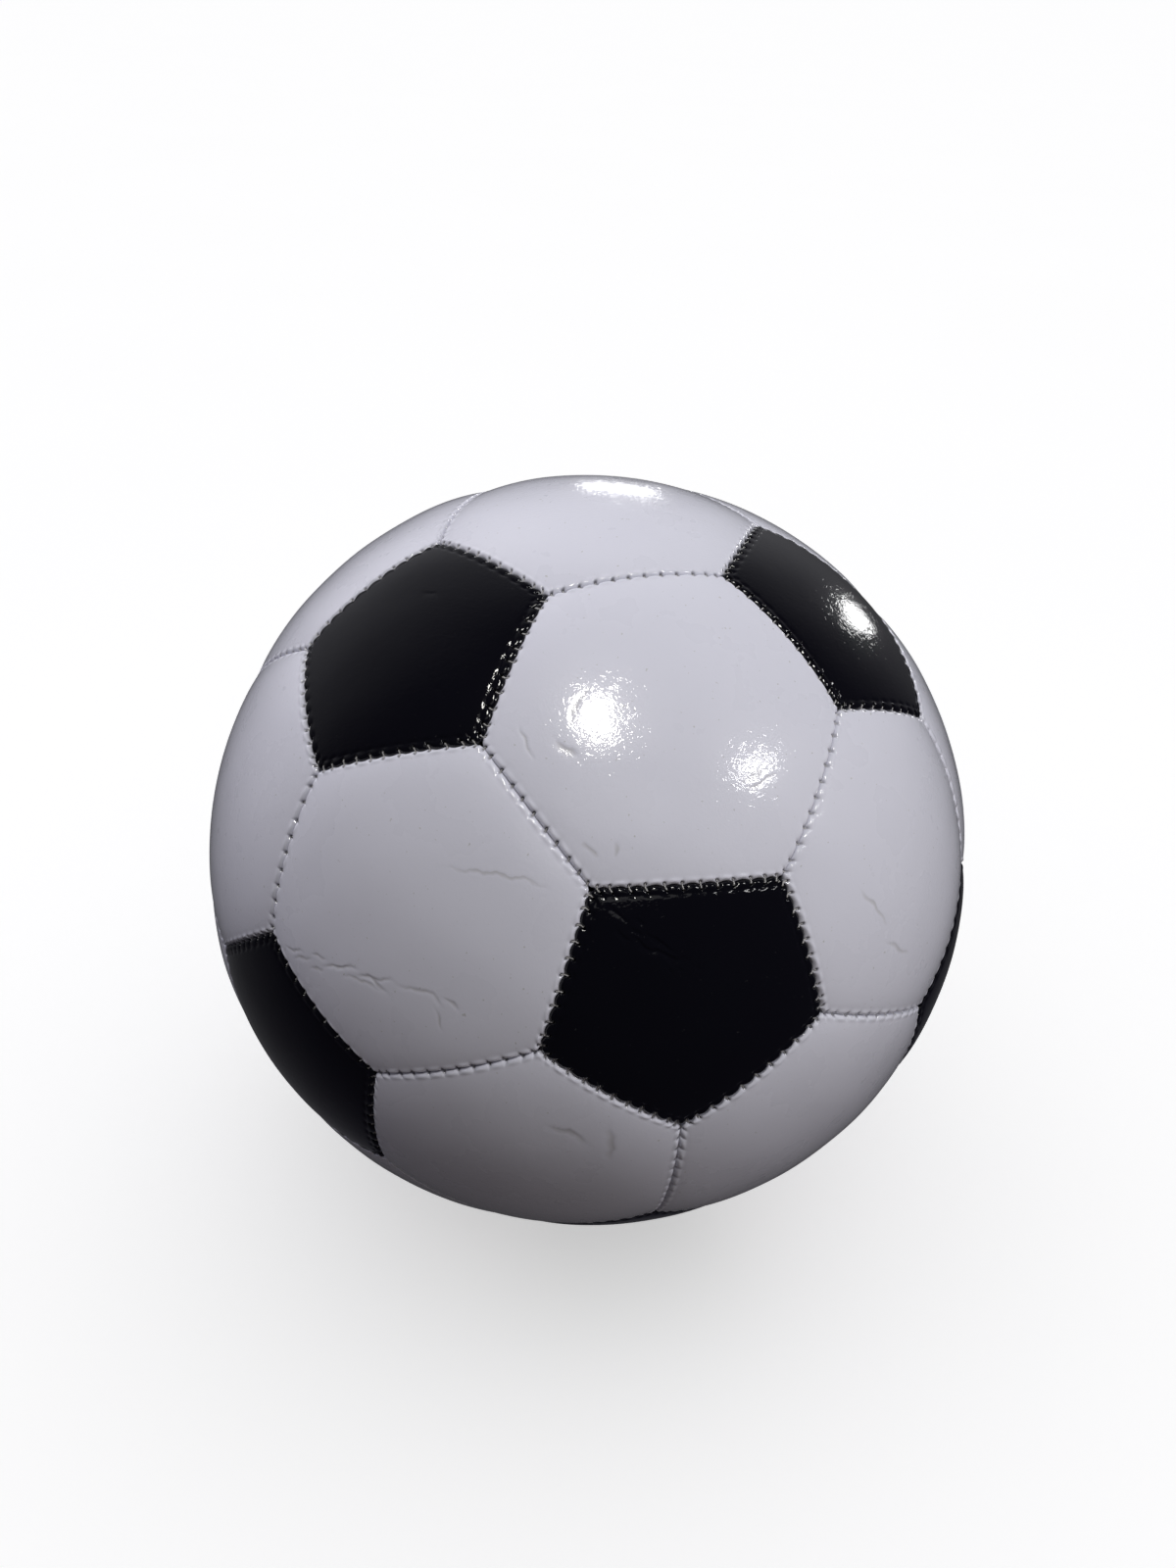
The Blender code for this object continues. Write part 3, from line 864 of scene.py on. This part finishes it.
def insert_outline(valve):
    """Ribbed plug with a dished top, the needle's mouth and passage, and a nose."""
    off_axis, height = valve.insert.T
    radius = off_axis.max()
    passage = off_axis.min()
    top = height.max()
    tip = height.min()
    shoulder = top - INSERT_BODY_LENGTH
    waist = radius - RIB_DEPTH
    ribs = []
    for depth in RIB_BOTTOMS:
        ribs += [
            (radius, top - depth),
            (waist, top - depth - RIB_DEPTH),
            (waist, top - depth - RIB_GAP + RIB_DEPTH),
            (radius, top - depth - RIB_GAP),
        ]
    return [
        (NEEDLE_MOUTH_RADIUS, top - 0.15 * MM),
        (radius - 0.5 * MM, top),
        (radius, top - 0.3 * MM),
        *ribs,
        (radius, shoulder + RIB_DEPTH),
        (waist, shoulder),
        (NOSE_RADIUS, shoulder),
        (NOSE_RADIUS, tip + 0.4 * MM),
        (NOSE_RADIUS - 0.4 * MM, tip),
        (passage, tip),
        (passage, top - 1.6 * MM),
        (NEEDLE_MOUTH_RADIUS, top - 0.6 * MM),
    ]


# Thread


def tube(made, line, out, radius):
    """A round tube along the line. out is roughly square to it, and both ends are closed."""
    line = np.asarray(line)
    angle = np.arange(THREAD_SIDES) * 2 * math.pi / THREAD_SIDES
    rings = []
    for index, point in enumerate(line):
        ahead = line[min(index + 1, len(line) - 1)] - line[max(index - 1, 0)]
        side = unit(np.cross(ahead, out))
        over = unit(np.cross(side, ahead))
        around = np.cos(angle)[:, None] * side + np.sin(angle)[:, None] * over
        rings.append(made.add_ring(point + around * radius))
    for one, other in zip(rings, rings[1:]):
        made.join(one, other, flipped=True)
    made.close(rings[0], made.add_ring(line[:1]))
    made.close(rings[-1], made.add_ring(line[-1:]), flipped=True)


def stitch_surface(panel, side, place, inset):
    """The point of a panel's surface at a stitch, without the hole."""
    share = np.array([place / side.seam.length])
    direction = panel.directions(side, share, np.array([inset]))
    drop = edge_roll(np.array([inset])) + PINCH_DEPTH * hump(inset, PINCH_REACH)
    radius = BALL_RADIUS - drop - pillow(panel, direction) + waviness(direction)
    return (direction * radius[:, None])[0]


def half_stitch(panel, side, number):
    """Points of a stitch from inside its hole up to the edge of the panel."""
    middle = side.stitches[number]
    points = []
    for share, lift in HALF_STITCH:
        place = middle + (side.holes[number] - middle) * share
        point = stitch_surface(panel, side, place, side.insets[number] * share)
        points.append(point + unit(point) * lift)
    return points


def seam_thread_lines(pair):
    """Every stitch of the seam between two panels, and the hidden run of thread under them."""
    (one, one_side), (other, other_side) = pair
    count = len(one_side.stitches)
    lines = []
    for number in range(count):
        near = half_stitch(one, one_side, number)
        far = half_stitch(other, other_side, count - 1 - number)
        bridge = (near[-1] + far[-1]) / 2
        bridge = bridge + unit(bridge) * BRIDGE_LIFT
        lines.append([*near, bridge, *far[::-1]])
    shares = np.linspace(0.02, 0.98, THREAD_RUN_STEPS + 1)
    run = one.directions(one_side, shares, np.zeros(len(shares)))
    return lines, run * (BALL_RADIUS - THREAD_RUN_DEPTH)


def add_threads(panels):
    """One piece for each CAD thread node, with the stitches of the seams that it runs along."""
    pairs = {}
    for panel in panels:
        for side in panel.sides:
            pairs.setdefault(id(side.seam), []).append((panel, side))
    node_points = {name: points_of(name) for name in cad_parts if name.startswith("thread_")}
    made = {name: RingMesh() for name in node_points}

    def gap_to(name, place):
        return np.linalg.norm(node_points[name] - place, axis=1).min()

    for pair in pairs.values():
        side = pair[0][1]
        middle = unit(side.start + side.end) * (BALL_RADIUS - THREAD_RUN_DEPTH)
        nearest = made[min(node_points, key=lambda name: gap_to(name, middle))]
        lines, run = seam_thread_lines(pair)
        for line in lines:
            tube(nearest, line, unit(np.mean(line, axis=0)), THREAD_RADIUS)
        tube(nearest, run, unit(run.mean(axis=0)), THREAD_RADIUS)
    for name in sorted(made):
        add_piece(f"{name}_stitches", made[name].mesh(name), thread_material(), "ball", name)


# Materials


class Nodes:
    """Short calls for building a node tree. Each gives back an output to link from."""

    def __init__(self, tree, coordinates):
        self.tree = tree
        self.place = self.add("TexCoord").outputs[coordinates]

    def link(self, source, target):
        self.tree.links.new(source, target)

    def add(self, kind, values=(), links=()):
        """A node, with pairs of an input's name and its value, or the output it is linked from."""
        node = self.tree.nodes.new(f"ShaderNode{kind}")
        for name, value in values:
            node.inputs[name].default_value = value
        for name, source in links:
            self.link(source, node.inputs[name])
        return node

    def noise(self, scale, detail=3.0, distortion=0.0):
        values = [("Scale", scale), ("Detail", detail), ("Distortion", distortion)]
        return self.add("TexNoise", values, [("Vector", self.place)]).outputs["Fac"]

    def wave(self, scale, direction, distortion):
        values = [("Scale", scale), ("Distortion", distortion)]
        node = self.add("TexWave", values, [("Vector", self.place)])
        node.bands_direction = direction
        return node.outputs["Fac"]

    def value_of(self, attribute):
        node = self.add("Attribute")
        node.attribute_name = attribute
        return node.outputs["Fac"]

    def between(self, value, low, high, to_low=0.0, to_high=1.0, smooth=False):
        values = [("From Min", low), ("From Max", high), ("To Min", to_low), ("To Max", to_high)]
        node = self.add("MapRange", values, [("Value", value)])
        node.interpolation_type = "SMOOTHSTEP" if smooth else "LINEAR"
        return node.outputs["Result"]

    def patchy(self, scale, low, high, detail=3.0):
        """A value that drifts between low and high over the surface."""
        return self.between(self.noise(scale, detail), 0.3, 0.7, low, high)

    def colours(self, share, first, second):
        """Mixes two colours. Each is an (r, g, b) or another node's output."""
        node = self.tree.nodes.new("ShaderNodeMix")
        node.data_type = "RGBA"
        self.link(share, node.inputs["Factor"])
        for socket, colour in zip(("A", "B"), (first, second)):
            target = next(s for s in node.inputs if s.name == socket and s.type == "RGBA")
            if isinstance(colour, tuple):
                target.default_value = (*colour, 1.0)
            else:
                self.link(colour, target)
        return next(s for s in node.outputs if s.type == "RGBA")

    def bumped(self, height, distance, strength=1.0, over=None):
        node = self.add("Bump", [("Strength", strength), ("Distance", distance)], [("Height", height)])
        if over is not None:
            self.link(over, node.inputs["Normal"])
        return node.outputs["Normal"]


class Surface(Nodes):
    """A new material's nodes."""

    def __init__(self, name):
        self.material = bpy.data.materials.new(name)
        self.material.use_nodes = True
        super().__init__(self.material.node_tree, "Object")
        self.shader = self.tree.nodes["Principled BSDF"]

    def finish(self, colour, roughness, normal=None, **fixed):
        """Links the shader up. fixed are values set on its own sockets."""
        self.link(colour, self.shader.inputs["Base Color"])
        self.link(roughness, self.shader.inputs["Roughness"])
        if normal is not None:
            self.link(normal, self.shader.inputs["Normal"])
        for name, value in fixed.items():
            self.shader.inputs[name.replace("_", " ").title().replace("Ior", "IOR")].default_value = value
        return self.material


def finish_cover(nodes, colour, painted_shade, roughness, **fixed):
    """Soft, slightly uneven foam, under a glossy film that has ripples and a grain of its own."""
    # Painted shade: the stitch holes, seam valleys and valve hole edge are mixed towards the dark colour
    # given.
    stitched = nodes.colours(nodes.value_of("stitch_painted_shade"), colour, painted_shade)
    foam = nodes.bumped(nodes.noise(120, detail=2.0, distortion=0.4), 0.05 * MM)
    ripples = nodes.noise(480, detail=1.3, distortion=2.6)
    film = nodes.bumped(ripples, 0.06 * MM, 1.0, foam)
    film = nodes.bumped(nodes.noise(2600, detail=2.0), 0.0025 * MM, 1.0, film)
    nodes.link(film, nodes.shader.inputs["Coat Normal"])
    foam = nodes.bumped(ripples, 0.015 * MM, 1.0, foam)
    return nodes.finish(stitched, roughness, foam, coat_weight=1.0, **fixed)


@functools.cache
def white_cover_material():
    nodes = Surface("white_cover")
    clean = nodes.colours(nodes.noise(28, detail=4.0), (0.650, 0.654, 0.757), (0.685, 0.687, 0.783))
    specks = nodes.between(nodes.noise(900, detail=1.0), 0.74, 0.80)
    spotted = nodes.colours(specks, clean, (0.50, 0.50, 0.53))
    # Painted shade: the cover is painted greyer in its creases.
    painted_crease_shade = nodes.between(nodes.value_of("crease_depth"), 0.3, 1.6)
    creased = nodes.colours(painted_crease_shade, spotted, (0.40, 0.39, 0.40))
    roughness = nodes.patchy(60, 0.24, 0.34, detail=4.0)
    fixed = {"coat_roughness": 0.045, "specular_ior_level": 0.25}
    # The near-black colour is the painted shade of the stitch holes and seams.
    return finish_cover(nodes, creased, (0.030, 0.028, 0.028), roughness, **fixed)


@functools.cache
def black_cover_material():
    nodes = Surface("black_cover")
    clean = nodes.colours(nodes.noise(28, detail=4.0), (0.0022, 0.0022, 0.0042), (0.0034, 0.0034, 0.0058))
    dust = nodes.between(nodes.noise(1100, detail=1.0), 0.76, 0.84)
    spotted = nodes.colours(dust, clean, (0.02, 0.02, 0.022))
    roughness = nodes.patchy(60, 0.17, 0.24, detail=4.0)
    fixed = {"coat_roughness": 0.055, "specular_ior_level": 0.035}
    # The near-black colour is the painted shade of the stitch holes and seams.
    return finish_cover(nodes, spotted, (0.001, 0.001, 0.001), roughness, **fixed)


@functools.cache
def thread_material():
    """Two waxed strands twisted together, greyed where hands have rubbed them."""
    nodes = Surface("thread")
    colour = nodes.colours(nodes.noise(350), (0.58, 0.57, 0.58), (0.40, 0.39, 0.40))
    fibres = nodes.noise(6000, detail=2.0)
    roughness = nodes.between(fibres, 0.3, 0.7, 0.45, 0.65)
    normal = nodes.bumped(nodes.wave(900, "DIAGONAL", 2.0), 0.08 * MM, 0.8)
    normal = nodes.bumped(fibres, 0.02 * MM, 0.5, normal)
    return nodes.finish(colour, roughness, normal, sheen_weight=0.2)


@functools.cache
def lining_material():
    """Plain-woven cotton, seen on the inside of the cover."""
    nodes = Surface("lining_cloth")
    weave = nodes.bumped(nodes.wave(700, "X", 0.6), 0.10 * MM)
    weave = nodes.bumped(nodes.wave(700, "Z", 0.6), 0.10 * MM, 1.0, weave)
    colour = nodes.colours(nodes.noise(900), (0.56, 0.53, 0.47), (0.44, 0.42, 0.38))
    return nodes.finish(colour, nodes.patchy(200, 0.82, 0.95), weave, sheen_weight=0.15)


@functools.cache
def bladder_material():
    """Butyl rubber with a bloom of talc."""
    nodes = Surface("bladder_rubber")
    bloom = nodes.noise(90, detail=6.0, distortion=0.5)
    colour = nodes.colours(bloom, (0.012, 0.012, 0.012), (0.055, 0.053, 0.05))
    roughness = nodes.patchy(240, 0.5, 0.75, detail=4.0)
    return nodes.finish(colour, roughness, nodes.bumped(nodes.noise(1500), 0.02 * MM))


@functools.cache
def valve_material():
    """Moulded rubber, satin, with a little dust."""
    nodes = Surface("valve_rubber")
    colour = nodes.colours(nodes.noise(700, detail=4.0), (0.010, 0.010, 0.010), (0.028, 0.027, 0.026))
    normal = nodes.bumped(nodes.noise(5200, detail=2.0), 0.012 * MM)
    return nodes.finish(colour, nodes.patchy(900, 0.42, 0.60), normal)


# Building the pieces


def add_cover(panels, valve):
    for panel in panels:
        has_valve = panel.name == "valve_hexagon_panel"
        mesh = valve_panel_mesh(panel, valve) if has_valve else panel_mesh(panel)
        material = black_cover_material() if panel.is_black else white_cover_material()
        add_piece(f"{panel.name}_cover", mesh, material, "ball", panel.name)


def add_valve(valve):
    for node, body, outline, rounding in (
        ("valve_boss", "ball", boss_outline(valve), BOSS_ROUNDING),
        ("valve_insert", "valve_insert", insert_outline(valve), INSERT_ROUNDING),
    ):
        mesh = turned_mesh(node, valve, rounded_profile(outline, rounding))
        add_piece(f"{node}_rubber", mesh, valve_material(), body, node)


def finish_cad_nodes():
    for name, material in (("bladder", bladder_material()), ("valve_patch", lining_material())):
        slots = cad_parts[name].data.materials
        slots.clear()
        slots.append(material)


# The studio


def aim(thing, direction, roll=0.0):
    """Faces a light or the camera this way, and rolls it by this many degrees."""
    facing = direction.to_track_quat("-Z", "Y")
    thing.rotation_mode = "QUATERNION"
    thing.rotation_quaternion = facing @ Matrix.Rotation(math.radians(roll), 4, "Z").to_quaternion()


def add_lamp(name, mirrored_at, direction, distance, size, radiance, colour=WHITE, roll=0.0):
    """An area lamp, placed from the spot on the ball that mirrors it. Angles are in degrees.

    mirrored_at is the spot, and direction is the lamp's direction from there, both as in toward().
    size is its width and height as seen from the spot.
    """
    data = bpy.data.lights.new(name, "AREA")
    data.shape = "ELLIPSE"
    data.size = 2 * distance * math.tan(math.radians(size[0] / 2))
    data.size_y = 2 * distance * math.tan(math.radians(size[1] / 2))
    data.energy = radiance * math.pi * data.size * data.size_y
    data.color = colour
    lamp = add_object(name, data)
    spot = toward(*mirrored_at) * BALL_RADIUS
    lamp.location = spot + toward(*direction) * distance
    aim(lamp, spot - lamp.location, roll)
    lamp.visible_camera = False
    return lamp


def add_sun(name, energy, angle):
    data = bpy.data.lights.new(name, "SUN")
    data.energy = energy
    data.angle = angle
    return add_object(name, data)


def add_soft_light(name, azimuth, elevation, strength, colour=WHITE):
    """Light from far away over a wide angle. It has no mirror image in the cover."""
    light = add_sun(name, strength * math.pi, SOFT_ANGLE)
    light.data.color = colour
    aim(light, -toward(azimuth, elevation))
    light.visible_glossy = False
    return light


def add_lamps():
    """A round lamp overhead, a smaller one to the right, two low ones behind, and soft light."""
    sheen = add_lamp("sheen_front", (-3, 20), (-8, 42), 1.5, (40, 24), 0.32)
    sheen.visible_diffuse = False
    return [
        sheen,
        add_lamp("lamp_overhead", (-13.6, 47.5), (-12.6, 68.4), 1.1, (14, 15), 23.5, (1, 0.985, 0.93)),
        add_lamp("lamp_right", (13.4, 39.0), (52.6, 37.7), 1.0, (15, 8), 14, roll=-8),
        add_lamp("lamp_behind", (127.7, 85.1), (163.8, 10.0), 1.2, (9, 8), 5.0),
        add_lamp("lamp_behind_right", (62.5, 50.5), (130.1, 7.9), 1.2, (17, 6), 6.0, roll=-52),
        add_soft_light("soft_right", 52.6, 37.7, 0.06, (0.92, 0.97, 1.0)),
        add_soft_light("soft_upper_right", 60, 65, 0.07),
        add_soft_light("soft_low_right", 60, 15, 0.12),
        add_soft_light("soft_far_right", 90, 15, 0.07),
        add_soft_light("soft_back_right", 150, 55, 0.06),
        add_soft_light("soft_far_left", -122, 15, 0.31, (0.98, 0.95, 1.0)),
        add_soft_light("soft_back_left", -160, 30, 0.60),
        add_soft_light("under_right", 90, -15, 0.12, (1.0, 0.95, 0.86)),
        add_soft_light("under_front", 25, -20, 0.112, (1.0, 0.89, 0.78)),
    ]


def add_floor():
    """A wide pale floor, out of the ball's light and reflections."""
    mesh = bpy.data.meshes.new("floor")
    grid = bmesh.new()
    bmesh.ops.create_grid(grid, x_segments=1, y_segments=1, size=40)
    grid.to_mesh(mesh)
    grid.free()
    floor = add_object("floor", mesh)
    floor.location.z = cad_box[0].z
    nodes = Surface("floor")
    colour = nodes.colours(nodes.noise(3, detail=2.0), (0.86, 0.86, 0.86), (0.88, 0.88, 0.88))
    nodes.shader.inputs["Emission Color"].default_value = (*WHITE, 1)
    nodes.shader.inputs["Emission Strength"].default_value = FLOOR_GLOW
    roughness = nodes.between(nodes.noise(4), 0.0, 1.0, 0.75, 0.85)
    mesh.materials.append(nodes.finish(colour, roughness))
    floor.visible_diffuse = False
    floor.visible_glossy = False
    floor.visible_shadow = False
    return floor


def split_light(floor, lamps):
    """The floor has a soft light to itself, and the ball's lamps leave it alone."""
    only_floor = bpy.data.collections.new("lit_by_the_floor_light")
    only_floor.objects.link(floor)
    light = add_sun("floor_light", FLOOR_LIGHT, FLOOR_LIGHT_ANGLE)
    light.light_linking.receiver_collection = only_floor
    all_but_floor = bpy.data.collections.new("not_lit_by_the_lamps")
    all_but_floor.objects.link(floor)
    all_but_floor.collection_objects[0].light_linking.link_state = "EXCLUDE"
    for lamp in lamps:
        lamp.light_linking.receiver_collection = all_but_floor


def add_world():
    """A pale room to the camera. The ball sees a dim one, and shiny parts a little light behind it."""
    world = bpy.data.worlds.new("room")
    bpy.context.scene.world = world
    world.use_nodes = True
    nodes = Nodes(world.node_tree, "Generated")
    parts = nodes.add("SeparateXYZ", links=[("Vector", nodes.place)]).outputs
    height = nodes.between(parts["Z"], -1.0, 1.0)
    upward = nodes.between(parts["Z"], -0.3, 0.4, smooth=True)
    behind = nodes.between(parts["Y"], 0.0, 1.0, smooth=True)
    wall = nodes.colours(upward, (0.05, 0.05, 0.053), (0.22, 0.22, 0.235))
    rays = nodes.add("LightPath").outputs
    dim = nodes.colours(height, (0.030, 0.026, 0.024), (0.03, 0.03, 0.04))
    glossy = nodes.colours(behind, (0.020, 0.019, 0.028), wall)
    seen = nodes.colours(rays["Is Glossy Ray"], dim, glossy)
    seen = nodes.colours(rays["Is Camera Ray"], seen, (0.95, 0.95, 0.95))
    nodes.link(seen, nodes.tree.nodes["Background"].inputs["Color"])
    bpy.context.scene.view_settings.view_transform = "Standard"


def add_camera():
    """Looks a little down on the front of the ball, from its left."""
    data = bpy.data.cameras.new("camera")
    data.lens = CAMERA_LENS
    data.sensor_width = 36
    camera = add_object("camera", data)
    camera.location = toward(*CAMERA_PLACE) * CAMERA_DISTANCE
    aim(camera, -toward(*CAMERA_BACKWARD), CAMERA_ROLL)
    bpy.context.scene.camera = camera


def build():
    panels = read_pattern()
    valve = Valve()
    add_cover(panels, valve)
    add_threads(panels)
    add_valve(valve)
    finish_cad_nodes()
    split_light(add_floor(), add_lamps())
    add_world()
    add_camera()


build()
